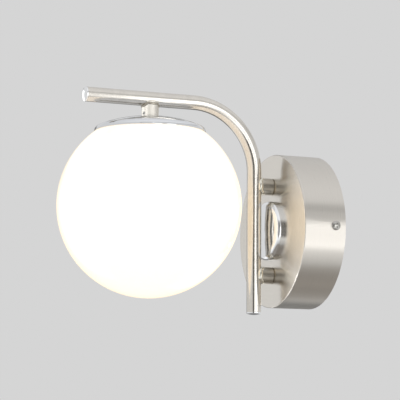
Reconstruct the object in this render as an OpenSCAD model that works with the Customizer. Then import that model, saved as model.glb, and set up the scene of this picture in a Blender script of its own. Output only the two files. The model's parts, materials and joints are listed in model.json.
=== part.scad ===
// Globe wall sconce: a round canopy on the wall carries a bent tube arm on two standoffs,
// and an opal glass globe hangs under the arm's horizontal run.
// Millimetres. The origin is the centre of the canopy's back, on the wall.
// -Y points out of the wall into the room and +Z is up.

/* [Wall canopy] */
// Outside diameter of the canopy
canopy_d = 127.5; // [122:0.5:150]
// How far the canopy's face stands off the wall
canopy_depth = 36.5; // [34:0.5:44]
// Sheet thickness of the canopy
canopy_wall = 1.2; // [0.8:0.1:1.6]
// Rounding of the canopy's front edge
canopy_edge_r = 0.9; // [0.5:0.1:3]
// Height of the side screws' axis above the wall
side_screw_depth = 9; // [8:0.5:11]

/* [Trim dome] */
// Diameter of the polished dome in the canopy's face
dome_d = 50; // [40:0.5:54]
// Rise of the dome above the canopy's face
dome_rise = 7.6; // [6:0.1:8.5]
// Bulge of the dome's flat front
dome_bulge = 0.9; // [0.7:0.05:1.6]

/* [Arm] */
// Outside diameter of the arm tube
tube_d = 12; // [11:0.5:13]
// Wall thickness of the arm tube
tube_wall = 1; // [0.8:0.1:1.2]
// Centre-line radius of the arm's bend
bend_r = 55; // [40:1:60]
// Height of the horizontal run's axis above the canopy's centre
arm_rise = 103.2; // [101:0.1:112]
// Depth of the vertical run's foot below the canopy's centre
arm_foot = 67.8; // [55:0.1:90]
// Gap between the arm's vertical run and the globe
globe_gap = 12.3; // [10:0.1:24]
// Length of the arm beyond the globe's axis
arm_overhang = 55.4; // [30:0.1:80]
// Rise of the polished end caps' crowns
end_cap_rise = 1.6; // [1.2:0.1:2.4]

/* [Standoffs and stem] */
// Diameter of the two standoffs
standoff_d = 14; // [13.5:0.5:16]
// Gap between the canopy's face and the arm tube
standoff_gap = 9.8; // [9:0.1:14]
// Gap between the dome's edge and each standoff
standoff_clear = 5; // [4:0.25:8]
// Diameter of the stem that carries the globe
stem_d = 14; // [13.5:0.5:16]
// Distance from the arm's axis down to the fitter cap's crown
stem_drop = 14.9; // [14:0.1:24]
// How far a coped end stops short of the tube's axis
cope_gap = 2.4; // [1:0.1:3]

/* [Globe and fitter cap] */
// Outside diameter of the glass globe
globe_d = 150; // [148:0.5:152]
// Wall thickness of the glass
globe_wall = 2.5; // [2:0.1:3]
// Outside diameter of the fitter cap
fitter_d = 90.8; // [88:0.2:94]
// Rise of the fitter cap above its rim
fitter_rise = 12.9; // [12:0.1:13.5]
// Height of the fitter cap's edge above its rim
fitter_edge_h = 3.7; // [3.4:0.1:4.6]
// Sheet thickness of the fitter cap
fitter_wall = 0.7; // [0.6:0.1:0.8]

/* [Lamp] */
// Diameter of the lamp's opal ball
lamp_d = 45; // [40:0.5:50]
// Length of the lamp's collar
lamp_collar_len = 10.3; // [8:0.1:14]
// Length of the lamp holder
holder_len = 54.5; // [54:0.5:58]

/* [Hidden] */
$fn = 96;

// Sides of the large crown circles, whose flat arcs need more of them
crown_sides = 480;

// Overrun of every cut
cut = 1;
// Clearance between rounded faces of separate pieces
free_gap = 0.3;
// Radial clearance of a threaded or sliding fit
fit_gap = 0.05;

// Finishes
NICKEL = [0.78, 0.76, 0.71];
CHROME = [0.86, 0.87, 0.89];
STEEL = [0.66, 0.67, 0.68];
BRASS = [0.80, 0.66, 0.36];
OPAL = [0.97, 0.96, 0.93];
WHITE = [0.93, 0.93, 0.91];
BLACK = [0.10, 0.10, 0.11];

// Canopy, dome, tube and globe as radii
canopy_r = canopy_d / 2;
canopy_in_r = canopy_r - canopy_wall;
dome_r = dome_d / 2;
dome_roll_r = 4.75;
dome_wall = 1;
dome_crown_r = crown_radius(dome_r, dome_bulge);
tube_r = tube_d / 2;
tube_in_r = tube_r - tube_wall;
tube_depth = canopy_depth + standoff_gap + tube_r;
standoff_r = standoff_d / 2;
standoff_chamfer = 0.8;
standoff_z = dome_r + standoff_clear + standoff_r;
stem_r = stem_d / 2;
globe_r = globe_d / 2;
globe_in_r = globe_r - globe_wall;
globe_reach = tube_depth + tube_r + globe_gap + globe_r;
arm_tip_reach = globe_reach + arm_overhang;

// Fitter cap: its rim lies on the globe's shoulder
fitter_r = fitter_d / 2;
fitter_roll_r = 4.5;
cap_top_z = arm_rise - stem_drop;
rim_z = cap_top_z - fitter_rise;
globe_z = rim_z - sqrt(pow(globe_r, 2) - pow(fitter_r, 2));
fitter_crown_r = crown_radius(fitter_r, fitter_rise - fitter_edge_h);
crown_z = cap_top_z - fitter_crown_r;
under_crown_r = fitter_crown_r - fitter_wall;

// Globe mouth: ground flat, with a soft gasket between it and the cap's crown
gasket_w = 2.8;
gasket_edge_t = 3;
gasket_inset = 3;
gasket_r = fitter_r - gasket_inset;
mouth_z = crown_z + sqrt(pow(under_crown_r, 2) - pow(gasket_r, 2)) - gasket_edge_t;
mouth_r = sqrt(pow(globe_r, 2) - pow(mouth_z - globe_z, 2));
mouth_in_r = sqrt(pow(globe_in_r, 2) - pow(mouth_z - globe_z, 2));

// Threaded nipples, M10 with a wire bore, their nuts and washers
nipple_r = 5;
nipple_bore_r = 3.5;
nut_flats = 14;
nut_h = 3;
lock_washer_r = 8.5;
lock_washer_h = 1;
nipple_seat = 7;
nipple_tail = 1.5;
nipple_inner_depth = canopy_depth - canopy_wall - lock_washer_h - nut_h - nipple_tail;
wire_hole_r = 4;
bush_flange_r = 5;
bush_flange_h = 1.2;
bush_sleeve = 5;
bush_bore_r = 2.9;

// Domed screw heads: edge height as a share of the head's, recess as shares of its radius
head_edge_share = 0.35;
recess_width_share = 0.22;
recess_reach_share = 0.55;

// Side screws and the bracket's ears
side_screw_r = 2;
side_screw_len = 8;
side_head_r = 3.8;
side_head_h = 2.2;
strap_w = 26;
strap_t = 1.5;
ear_w = 16;
ear_h = 16;
ear_bend_r = 3;
ear_x = sqrt(pow(canopy_in_r, 2) - pow(ear_w / 2, 2)) - free_gap;

// Wall fixing slots, 70 mm apart, and the cable hole
slot_pitch = 70;
slot_w = 5;
slot_len = 14;
cable_hole_r = 6;

// Terminal block, two poles
block_x = 17.5;
block_pitch = 8.6;
block_w = 17.2;
block_len = 21;
block_base_h = 3;
block_h = 13;
barrel_r = 2.3;
barrel_bore_r = 1.6;
barrel_len = 18;
barrel_depth = strap_t + 6.5;
tunnel_r = 4;
chimney_r = 2.7;
chimney_z = 5.5;
clamp_screw_r = 1.5;
clamp_slot_w = 0.5;
clamp_slot_h = 1;
clamp_sink = 1;
block_screw_r = 1.5;
block_screw_head_r = 2.6;
block_screw_head_h = 1.6;

// Earth fixing on the other side of the strap
earth_x = -17;
earth_screw_r = 2;
earth_head_r = 3.6;
earth_head_h = 2.4;
cup_washer_r = 4.4;
cup_washer_h = 0.8;
tag_ring_w = 2;
tag_t = 0.8;
tag_neck_w = 3;
tag_neck_len = 5;
tag_barrel_r = 1.8;
tag_barrel_len = 6;

// Dome fixing
dome_stud_r = 2.5;
dome_nut_flats = 8;
dome_nut_h = 4;
dome_washer_r = 6;
dome_washer_h = 1;
dome_stud_tail = 2;

// End caps
end_cap_edge = 0.6;
end_cap_plug = 6;
end_cap_roll_r = 0.6;
end_cap_crown_r = 16;

// Stem and what hangs on it
grub_r = 1.5;
grub_len = stem_r - nipple_r - 2 * fit_gap;
grub_socket_r = 0.8;
grub_up = 2.4;
grub_angle = -68;
nipple_short = 1.4;
hub_r = 11;
spring_flat_r = 13;
spider_t = 0.6;
spring_w = 9;
leaf_bow_below = 2.5;
leaf_tail = 5;
leaf_tuck = 2.6;
hub_corner_r = norm([spring_flat_r, spring_w / 2]);
hub_top_z = crown_z + sqrt(pow(under_crown_r, 2) - pow(hub_corner_r, 2)) - fit_gap;
cap_nut_top_z = hub_top_z - spider_t;
holder_top_z = cap_nut_top_z - nut_h;
nipple_top_z = arm_rise - tube_r - nipple_short;
nipple_grip = 6;
nipple_bottom_z = holder_top_z - nipple_grip;

// Lamp holder, for a 27 mm Edison screw
holder_bottom_z = holder_top_z - holder_len;
holder_r = 19.5;
holder_wall = 1.8;
holder_neck_r = 8;
holder_neck_len = 6;
holder_cap_len = 22;
holder_mouth_r = 18;
holder_taper_len = 12;
holder_mouth_in_r = 14.4;
holder_ledge = 1.6;
holder_ledge_h = 3;
holder_joint_z = holder_top_z - holder_cap_len;
insert_r = holder_r - holder_wall - fit_gap;
insert_t = 4;
insert_boss_r = 15.6;
insert_boss_len = 4;
shell_groove = 2;
shell_wall = 0.4;
shell_in_r = 13.2;
shell_len = 22;
shell_top_z = holder_joint_z - insert_boss_len + shell_groove;
contact_t = 0.5;
contact_w = 7;
contact_len = 16;
contact_rise = 2.5;
terminal_x = 9;
terminal_w = 7;
terminal_d = 5;
terminal_h = 5;
terminal_screw_r = 1.5;

// Lamp
lamp_r = lamp_d / 2;
lamp_tip_z = holder_joint_z - insert_boss_len - contact_rise - contact_t - fit_gap;
lamp_tip_r = 4.5;
lamp_tip_h = 1.6;
lamp_insulator_h = 3.4;
lamp_shell_r = shell_in_r - 2 * fit_gap;
lamp_shell_len = 21;
lamp_shell_neck = 1.6;
lamp_shell_wall = 0.6;
lamp_collar_foot_r = 13.6;
lamp_collar_lip = 0.4;
lamp_neck_share = 0.72;
lamp_ball_wall = 1;
glue_line = 0.01;
lamp_shell_top_z = lamp_tip_z - lamp_tip_h - lamp_insulator_h;
lamp_shell_bottom_z = lamp_shell_top_z - lamp_shell_len;
lamp_collar_bottom_z = lamp_shell_bottom_z - lamp_collar_len;
lamp_ball_z = lamp_collar_bottom_z - lamp_neck_share * lamp_r;
lamp_collar_r = lamp_r * sqrt(1 - pow(lamp_neck_share, 2)) + lamp_collar_lip;
lamp_pocket_r = lamp_collar_r - 2 * lamp_ball_wall - lamp_shell_wall;
board_r = lamp_pocket_r - free_gap;
board_t = 1.2;
chip_count = 8;
chip_size = 2.8;
chip_t = 0.8;
chip_ring_share = 0.69;
chip_ring_r = chip_ring_share * board_r;

// Leads
lead_d = 2.4;
lead_r = lead_d / 2;
lead_x = lead_r + fit_gap;
lead_sides = 8;
lead_arc_steps = 4;
lead_bend_r = 5;
lead_tight_r = 3;
lead_entry = 3;
lead_fan_top = 1.5;
lead_fan_drop = 3.8;
bush_clear = 8;

// Radius of the crown that rises by drop within the radius r
function crown_radius(r, drop) = (pow(r, 2) + pow(drop, 2)) / (2 * drop);

function unit(v) = v / norm(v);

// Arc of radius r that rounds the corner b of the route a, b, c
function corner_arc(a, b, c, r, steps) =
    let (u = unit(a - b), v = unit(c - b))
    let (angle = acos(u * v), turn = 180 - angle)
    let (reach = r / tan(angle / 2), centre = b + unit(u + v) * r / sin(angle / 2))
    let (from = b + u * reach - centre, to = b + v * reach - centre)
    [for (i = [0 : steps])
        let (t = i / steps)
        centre + (sin((1 - t) * turn) * from + sin(t * turn) * to) / sin(turn)];

// Points along a straight stretch, both ends left out
function between(a, b, step) =
    let (n = max(1, round(norm(b - a) / step)))
    [for (i = [1 : 1 : n - 1]) a + (b - a) * i / n];

// Route through hand-set corners, each rounded to its own radius
function rounded_route(corners, radii, steps) =
    [for (i = [0 : len(corners) - 1])
        each i == 0 || i == len(corners) - 1
            ? [corners[i]]
            : corner_arc(corners[i - 1], corners[i], corners[i + 1], radii[i], steps[i])];

// The same route with points added on its long straights
function paced_route(points, step) =
    [for (i = [0 : len(points) - 1])
        each i == 0 ? [points[0]] : concat(between(points[i - 1], points[i], step), [points[i]])];

// Direction of a route at its point i
function heading(p, i) = unit(p[min(i + 1, len(p) - 1)] - p[max(i - 1, 0)]);

// Side vectors carried along the route without twist
function side_vectors(p, first) =
    [for (i = 0, s = unit(first - (first * heading(p, 0)) * heading(p, 0));
        i < len(p);
        i = i + 1, h = heading(p, min(i, len(p) - 1)), s = unit(s - (s * h) * h)) s];

// Round lead along a route, as one closed skin
module lead(points, r, first) {
    sides = side_vectors(points, first);
    n = len(points);
    rings = [for (i = [0 : n - 1])
        let (h = heading(points, i), u = sides[i], v = cross(h, u))
        for (k = [0 : lead_sides - 1])
            points[i] + r * (cos(360 * k / lead_sides) * u + sin(360 * k / lead_sides) * v)];
    start = [for (k = [1 : lead_sides - 2]) [0, k + 1, k]];
    last = (n - 1) * lead_sides;
    end = [for (k = [1 : lead_sides - 2]) [last, last + k, last + k + 1]];
    skin = [for (i = [0 : n - 2])
        for (k = [0 : lead_sides - 1])
            let (a = i * lead_sides + k, b = i * lead_sides + (k + 1) % lead_sides)
            for (f = [[a, b, b + lead_sides], [a, b + lead_sides, a + lead_sides]]) f];
    polyhedron(points = rings, faces = concat(start, skin, end));
}

// Places children on an axis that stands out of the wall at x, z
module out_of_wall(x, z, depth) {
    translate([x, -depth, z]) rotate([90, 0, 0]) children();
}

// Places children on the globe's vertical axis
module on_globe_axis(z) {
    translate([0, -globe_reach, z]) children();
}

module tube_ring(outer_r, inner_r, h) {
    difference() {
        cylinder(r = outer_r, h = h);
        translate([0, 0, -cut]) cylinder(r = inner_r, h = h + 2 * cut);
    }
}

// Hexagon nut with a plain hole
module hex_nut(flats, hole_r, h) {
    difference() {
        cylinder(r = flats / sqrt(3), h = h, $fn = 6);
        translate([0, 0, -cut]) cylinder(r = hole_r, h = h + 2 * cut);
    }
}

// Screw with a domed head above z = 0, a cross recess and a plain shank below
module pan_screw(shank_r, shank_len, head_r, head_h) {
    recess_w = head_r * recess_width_share;
    recess_reach = head_r * recess_reach_share;
    dome_h = head_h * (1 - head_edge_share);
    crown = (pow(head_r, 2) + pow(dome_h, 2)) / (2 * dome_h);
    difference() {
        union() {
            translate([0, 0, -shank_len]) cylinder(r = shank_r, h = shank_len + head_h / 2);
            intersection() {
                cylinder(r = head_r, h = head_h);
                translate([0, 0, head_h - crown]) sphere(crown);
            }
        }
        for (a = [0, 90])
            rotate(a) translate([-recess_reach, -recess_w / 2, head_h / 2])
                cube([2 * recess_reach, recess_w, head_h]);
    }
}

// Half section of a crowned disc whose edge is rolled down
module crowned_section(r, rise, crown_r, roll_r) {
    centre_z = rise - crown_r;
    roll_x = r - roll_r;
    roll_z = centre_z + sqrt(pow(crown_r - roll_r, 2) - pow(roll_x, 2));
    away = unit([roll_x, roll_z - centre_z]) * (roll_r + cut);
    difference() {
        intersection() {
            square([r, rise]);
            translate([0, centre_z]) circle(crown_r, $fn = crown_sides);
        }
        polygon([[roll_x, roll_z], [r + cut, roll_z], [r + cut, roll_z + away[1]],
            [roll_x + away[0], roll_z + away[1]]]);
    }
    translate([roll_x, roll_z]) circle(roll_r);
}

// Thin crowned shell, open below
module crowned_shell(r, rise, crown_r, roll_r, wall) {
    rotate_extrude() difference() {
        intersection() {
            crowned_section(r, rise, crown_r, roll_r);
            square([r + cut, rise + cut]);
        }
        translate([0, -wall]) crowned_section(r - wall, rise, crown_r - wall, roll_r - wall);
        translate([-cut, -wall - cut]) square([r - wall + cut, wall + cut]);
    }
}

// Half section of a cup with its rounded closed end up
module cup_section(r, depth, edge_r) {
    square([r, depth - edge_r]);
    square([r - edge_r, depth]);
    translate([r - edge_r, depth - edge_r]) circle(edge_r);
}

// Drawn metal cup with holes for the arm's nipples, the dome's stud and the side screws
module canopy() {
    color(NICKEL) difference() {
        out_of_wall(0, 0, 0) rotate_extrude() difference() {
            cup_section(canopy_r, canopy_depth, canopy_edge_r);
            translate([0, -cut]) square([canopy_in_r, canopy_depth - canopy_wall + cut]);
        }
        for (side = [-1, 1]) {
            out_of_wall(0, side * standoff_z, canopy_depth - canopy_wall - cut)
                cylinder(r = nipple_r + fit_gap, h = canopy_wall + 2 * cut);
            translate([side * (canopy_in_r - cut), -side_screw_depth, 0]) rotate([0, side * 90, 0])
                cylinder(r = side_screw_r + free_gap, h = canopy_wall + 2 * cut);
        }
        out_of_wall(0, 0, canopy_depth - canopy_wall - cut)
            cylinder(r = dome_stud_r + free_gap, h = canopy_wall + 2 * cut);
    }
}

// Two screws through the canopy's side into the bracket's ears
module side_screws() {
    color(CHROME) for (side = [-1, 1])
        translate([side * canopy_r, -side_screw_depth, 0]) rotate([0, side * 90, 0])
            pan_screw(side_screw_r, side_screw_len, side_head_r, side_head_h);
}

// Section of the strap with both ears turned up, rounded at the bends
module strap_section() {
    module bent(x, h, r) {
        translate([-x, r]) square([2 * x, h - r]);
        translate([-x + r, 0]) square([2 * (x - r), h]);
        for (side = [-1, 1]) translate([side * (x - r), r]) circle(r);
    }
    difference() {
        bent(ear_x, ear_h, ear_bend_r);
        translate([0, strap_t]) bent(ear_x - strap_t, ear_h + cut, ear_bend_r - strap_t);
    }
}

// Steel strap with two ears, wall slots, a cable hole and the fixing holes it carries
module wall_bracket() {
    color(STEEL) difference() {
        intersection() {
            translate([0, 0, -strap_w / 2]) mirror([0, 1, 0]) linear_extrude(strap_w) strap_section();
            out_of_wall(0, 0, -cut) union() {
                translate([-ear_x + ear_bend_r, -strap_w / 2, 0])
                    cube([2 * (ear_x - ear_bend_r), strap_w, ear_h]);
                translate([-ear_x - cut, -ear_w / 2, 0])
                    cube([2 * (ear_x + cut), ear_w, ear_h + 2 * cut]);
            }
        }
        for (side = [-1, 1]) {
            out_of_wall(side * slot_pitch / 2, 0, -cut) {
                for (end = [-1, 1]) translate([end * (slot_len - slot_w) / 2, 0, 0])
                    cylinder(r = slot_w / 2, h = strap_t + 2 * cut);
                translate([-(slot_len - slot_w) / 2, -slot_w / 2, 0])
                    cube([slot_len - slot_w, slot_w, strap_t + 2 * cut]);
            }
            translate([side * (ear_x - strap_t - cut), -side_screw_depth, 0]) rotate([0, side * 90, 0])
                cylinder(r = side_screw_r + fit_gap, h = strap_t + 2 * cut);
        }
        out_of_wall(0, 0, -cut) cylinder(r = cable_hole_r, h = strap_t + 2 * cut);
        out_of_wall(earth_x, 0, -cut) cylinder(r = earth_screw_r + fit_gap, h = strap_t + 2 * cut);
        out_of_wall(block_x, 0, -cut) cylinder(r = block_screw_r + fit_gap, h = strap_t + 2 * cut);
    }
}

// Brass earth screw, flush with the strap's back
module earth_screw() {
    stack = cup_washer_h + tag_t;
    color(BRASS) out_of_wall(earth_x, 0, strap_t + stack)
        pan_screw(earth_screw_r, strap_t + stack, earth_head_r, earth_head_h);
}

module earth_cup_washer() {
    color(BRASS) out_of_wall(earth_x, 0, strap_t + tag_t)
        tube_ring(cup_washer_r, earth_screw_r + fit_gap, cup_washer_h);
}

// Ring tag with a crimped barrel that points along +Y of its own plane
module ring_tag(hole_r) {
    tag_outer_r = hole_r + tag_ring_w;
    tube_ring(tag_outer_r, hole_r + fit_gap, tag_t);
    neck_start = tag_outer_r - tag_t;
    translate([-tag_neck_w / 2, neck_start, 0]) cube([tag_neck_w, tag_neck_len, tag_t]);
    translate([0, neck_start + tag_neck_len - tag_t, tag_barrel_r]) rotate([-90, 0, 0])
        tube_ring(tag_barrel_r, lead_r, tag_barrel_len);
}

// Each earth tag's x, z, depth, turn, hole and the side its barrel stands on: one on the strap,
// one between the lower arm nut and its lock washer
tags = [[earth_x, 0, strap_t, 150, earth_screw_r, 1],
    [0, -standoff_z, canopy_depth - canopy_wall - lock_washer_h, 20, nipple_r, -1]];

module earth_tags() {
    color(BRASS) for (t = tags)
        out_of_wall(t[0], t[1], t[2]) rotate(t[3]) mirror([0, 0, t[5] < 0 ? 1 : 0]) ring_tag(t[4]);
}

// Two-pole terminal strip: a base, a tunnel for each barrel and a chimney over each clamp screw
module terminal_block() {
    color(WHITE) difference() {
        out_of_wall(block_x, 0, strap_t) union() {
            translate([-block_w / 2, -block_len / 2, 0]) cube([block_w, block_len, block_base_h]);
            for (side = [-1, 1]) {
                translate([side * block_pitch / 2, -block_len / 2, barrel_depth - strap_t])
                    rotate([-90, 0, 0]) cylinder(r = tunnel_r, h = block_len);
                translate([side * block_pitch / 2 - tunnel_r, -block_len / 2, block_base_h / 2])
                    cube([2 * tunnel_r, block_len, barrel_depth - strap_t - block_base_h / 2]);
                for (end = [-1, 1])
                    translate([side * block_pitch / 2, end * chimney_z, block_base_h])
                        cylinder(r = chimney_r, h = block_h - block_base_h);
            }
        }
        out_of_wall(block_x, 0, strap_t) {
            for (side = [-1, 1]) {
                translate([side * block_pitch / 2, -block_len / 2 - cut, barrel_depth - strap_t])
                    rotate([-90, 0, 0]) cylinder(r = barrel_r + fit_gap, h = block_len + 2 * cut);
                for (end = [-1, 1])
                    translate([side * block_pitch / 2, end * chimney_z, barrel_depth - strap_t])
                        cylinder(r = clamp_screw_r + fit_gap, h = block_h);
            }
            translate([0, 0, -cut]) cylinder(r = block_screw_r + fit_gap, h = block_h);
            translate([0, 0, block_base_h]) cylinder(r = block_screw_head_r + fit_gap, h = block_h);
        }
    }
}

module terminal_barrels() {
    color(BRASS) for (side = [-1, 1])
        translate([block_x + side * block_pitch / 2, -barrel_depth, -barrel_len / 2]) difference() {
            tube_ring(barrel_r, barrel_bore_r, barrel_len);
            for (end = [-1, 1]) translate([0, 0, barrel_len / 2 + end * chimney_z]) rotate([90, 0, 0])
                cylinder(r = clamp_screw_r + fit_gap, h = barrel_r + cut);
        }
}

// Clamp screws, driven down to the wires in the barrels
module terminal_screws() {
    grip_depth = barrel_depth + lead_r + fit_gap;
    screw_len = strap_t + block_h - clamp_sink - grip_depth;
    color(STEEL) for (side = [-1, 1], end = [-1, 1])
        out_of_wall(block_x + side * block_pitch / 2, end * chimney_z, grip_depth) difference() {
            cylinder(r = clamp_screw_r, h = screw_len);
            translate([-clamp_screw_r - cut, -clamp_slot_w / 2, screw_len - clamp_slot_h])
                cube([2 * (clamp_screw_r + cut), clamp_slot_w, clamp_slot_h + cut]);
        }
}

module terminal_fixing_screw() {
    color(STEEL) out_of_wall(block_x, 0, strap_t + block_base_h)
        pan_screw(block_screw_r, strap_t + block_base_h, block_screw_head_r, block_screw_head_h);
}

// Polished pressed dome with a rounded shoulder on the canopy's face
module canopy_dome() {
    color(CHROME) out_of_wall(0, 0, canopy_depth)
        crowned_shell(dome_r, dome_rise, dome_crown_r, dome_roll_r, dome_wall);
}

// Stud welded under the dome's crown
module dome_stud() {
    inner_end = canopy_depth - canopy_wall - dome_washer_h - dome_nut_h - dome_stud_tail;
    under_crown = sqrt(pow(dome_crown_r - dome_wall, 2) - pow(dome_stud_r, 2));
    outer_end = canopy_depth + dome_rise - dome_crown_r + under_crown - fit_gap;
    color(STEEL) out_of_wall(0, 0, inner_end) cylinder(r = dome_stud_r, h = outer_end - inner_end);
}

module dome_washer() {
    color(STEEL) out_of_wall(0, 0, canopy_depth - canopy_wall - dome_washer_h)
        tube_ring(dome_washer_r, dome_stud_r + fit_gap, dome_washer_h);
}

module dome_nut() {
    color(STEEL) out_of_wall(0, 0, canopy_depth - canopy_wall - dome_washer_h - dome_nut_h)
        hex_nut(dome_nut_flats, dome_stud_r + fit_gap, dome_nut_h);
}

// Post from the canopy's face to the arm, coped to the tube, with a threaded socket for its nipple
module standoff(z, wire_bore_r) {
    blank_len = standoff_gap + tube_r - cope_gap;
    difference() {
        out_of_wall(0, z, canopy_depth) difference() {
            rotate_extrude() polygon([[0, 0], [standoff_r - standoff_chamfer, 0],
                [standoff_r, standoff_chamfer], [standoff_r, blank_len], [0, blank_len]]);
            translate([0, 0, -cut]) cylinder(r = nipple_r + fit_gap, h = nipple_seat + cut);
            if (wire_bore_r > 0) cylinder(r = wire_bore_r, h = blank_len + cut);
        }
        translate([0, -tube_depth, z - standoff_d]) cylinder(r = tube_r, h = 2 * standoff_d);
    }
}

module upper_standoff() { color(NICKEL) standoff(standoff_z, wire_hole_r); }
module lower_standoff() { color(NICKEL) standoff(-standoff_z, 0); }

// Threaded nipples that hold the standoffs on the canopy
module arm_nipples() {
    color(STEEL) for (side = [-1, 1]) out_of_wall(0, side * standoff_z, nipple_inner_depth)
        tube_ring(nipple_r, nipple_bore_r, canopy_depth + nipple_seat - fit_gap - nipple_inner_depth);
}

// Hex nuts on the nipples; the lower one also clamps an earth tag
module arm_nuts() {
    clamped = [[-1, tag_t], [1, 0]];
    color(STEEL) for (c = clamped)
        out_of_wall(0, c[0] * standoff_z, nipple_inner_depth + nipple_tail - c[1])
            hex_nut(nut_flats, nipple_r + fit_gap, nut_h);
}

module arm_lock_washers() {
    color(STEEL) for (side = [-1, 1])
        out_of_wall(0, side * standoff_z, canopy_depth - canopy_wall - lock_washer_h)
            tube_ring(lock_washer_r, nipple_r + fit_gap, lock_washer_h);
}

// Plastic bush that keeps the leads off the upper nipple's edge
module wire_bush() {
    color(WHITE) out_of_wall(0, standoff_z, nipple_inner_depth - bush_flange_h) difference() {
        union() {
            cylinder(r = bush_flange_r, h = bush_flange_h);
            cylinder(r = nipple_bore_r - fit_gap, h = bush_flange_h + bush_sleeve);
        }
        translate([0, 0, -cut]) cylinder(r = bush_bore_r, h = bush_flange_h + bush_sleeve + 2 * cut);
    }
}

// The arm's run as a solid of radius r: up, round the bend and out
module arm_run(r, overrun) {
    bend_z = arm_rise - bend_r;
    bend_depth = tube_depth + bend_r;
    translate([0, -tube_depth, -arm_foot - overrun]) cylinder(r = r, h = arm_foot + bend_z + overrun);
    translate([0, -bend_depth, bend_z]) rotate([90, 0, 90])
        rotate_extrude(angle = 90) translate([bend_r, 0]) circle(r);
    out_of_wall(0, arm_rise, bend_depth) cylinder(r = r, h = arm_tip_reach - bend_depth + overrun);
}

// One tube, bent through 90 degrees, with wire holes at the upper standoff and the stem
module arm_tube() {
    color(NICKEL) difference() {
        arm_run(tube_r, 0);
        arm_run(tube_in_r, cut);
        out_of_wall(0, standoff_z, tube_depth - tube_r - cut) cylinder(r = wire_hole_r, h = tube_r + cut);
        on_globe_axis(arm_rise - tube_r - cut) cylinder(r = wire_hole_r, h = tube_r + cut);
    }
}

// Polished plug with a crowned face, pressed into a tube end
module end_cap() {
    translate([0, 0, -end_cap_plug]) cylinder(r = tube_in_r - fit_gap, h = end_cap_plug);
    rotate_extrude() intersection() {
        crowned_section(tube_r, end_cap_edge + end_cap_rise, end_cap_crown_r, end_cap_roll_r);
        square([tube_d, tube_d]);
    }
}

module front_end_cap() { color(CHROME) out_of_wall(0, arm_rise, arm_tip_reach) end_cap(); }
module bottom_end_cap() { color(CHROME) translate([0, -tube_depth, -arm_foot]) mirror([0, 0, 1]) end_cap(); }

// Stem between the arm and the fitter cap: coped at the top, seated on the crown at the foot
module stem() {
    foot_z = cap_top_z - fitter_wall;
    color(NICKEL) difference() {
        on_globe_axis(foot_z) difference() {
            rotate_extrude() difference() {
                square([stem_r, arm_rise - cope_gap - foot_z]);
                translate([0, crown_z - foot_z]) circle(fitter_crown_r, $fn = crown_sides);
            }
            translate([0, 0, -cut]) cylinder(r = nipple_r + fit_gap, h = nipple_top_z - foot_z + cut);
            cylinder(r = wire_hole_r, h = arm_rise - foot_z);
        }
        out_of_wall(0, arm_rise, globe_reach - stem_d) cylinder(r = tube_r, h = 2 * stem_d);
        on_globe_axis(cap_top_z + grub_up) rotate([0, 90, grub_angle])
            cylinder(r = grub_r + fit_gap, h = stem_r + cut);
    }
}

// Grub screw that locks the stem on its nipple, with a hexagon socket
module stem_grub_screw() {
    color(BLACK) on_globe_axis(cap_top_z + grub_up) rotate([0, 90, grub_angle])
        translate([0, 0, nipple_r + fit_gap]) difference() {
            cylinder(r = grub_r, h = grub_len);
            translate([0, 0, grub_len / 2]) cylinder(r = grub_socket_r, h = grub_len, $fn = 6);
        }
}

// Chromed crowned disc, cut to lie just above the glass shoulder
module fitter_cap() {
    color(CHROME) difference() {
        on_globe_axis(rim_z)
            crowned_shell(fitter_r, fitter_rise, fitter_crown_r, fitter_roll_r, fitter_wall);
        on_globe_axis(globe_z) rotate_extrude() intersection() {
            circle(globe_r + free_gap, $fn = crown_sides);
            square([globe_r + cut, mouth_z - globe_z]);
        }
        on_globe_axis(rim_z) cylinder(r = nipple_r + fit_gap, h = fitter_rise + cut);
    }
}

module cap_nipple() {
    color(STEEL) on_globe_axis(nipple_bottom_z)
        tube_ring(nipple_r, nipple_bore_r, nipple_top_z - fit_gap - nipple_bottom_z);
}

module cap_nut() {
    color(STEEL) on_globe_axis(holder_top_z) hex_nut(nut_flats, nipple_r + fit_gap, nut_h);
}

// Outline of one spring arm: along under the crown, then down to a leaf that bows out in the mouth
module spring_arm_section() {
    bow_r = mouth_in_r - free_gap;
    knee_r = bow_r - leaf_tuck;
    knee_z = crown_z + sqrt(pow(under_crown_r, 2) - pow(knee_r, 2)) - free_gap - hub_top_z;
    bow_z = mouth_z - leaf_bow_below - hub_top_z;
    tail_z = bow_z - leaf_tail;
    polygon([[nipple_r, 0], [spring_flat_r, 0], [knee_r, knee_z], [bow_r, bow_z], [knee_r, tail_z],
        [knee_r - spider_t, tail_z], [bow_r - spider_t, bow_z], [knee_r - spider_t, knee_z - spider_t],
        [spring_flat_r, -spider_t], [nipple_r, -spider_t]]);
}

// Three-armed leaf spring that grips the inside of the globe's mouth
module spring_spider() {
    color(STEEL) on_globe_axis(hub_top_z) difference() {
        union() {
            translate([0, 0, -spider_t]) cylinder(r = hub_r, h = spider_t);
            for (turn = [0, 120, 240]) rotate([90, 0, turn]) translate([0, 0, -spring_w / 2])
                linear_extrude(spring_w) spring_arm_section();
        }
        translate([0, 0, -spider_t - cut]) cylinder(r = nipple_r + fit_gap, h = spider_t + 2 * cut);
    }
}

// Soft ring between the glass mouth and the cap's underside
module globe_gasket() {
    color(WHITE) on_globe_axis(mouth_z) rotate_extrude() intersection() {
        translate([gasket_r - gasket_w, fit_gap]) square([gasket_w, fitter_rise]);
        translate([0, crown_z - mouth_z]) circle(under_crown_r - fit_gap, $fn = crown_sides);
    }
}

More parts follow.
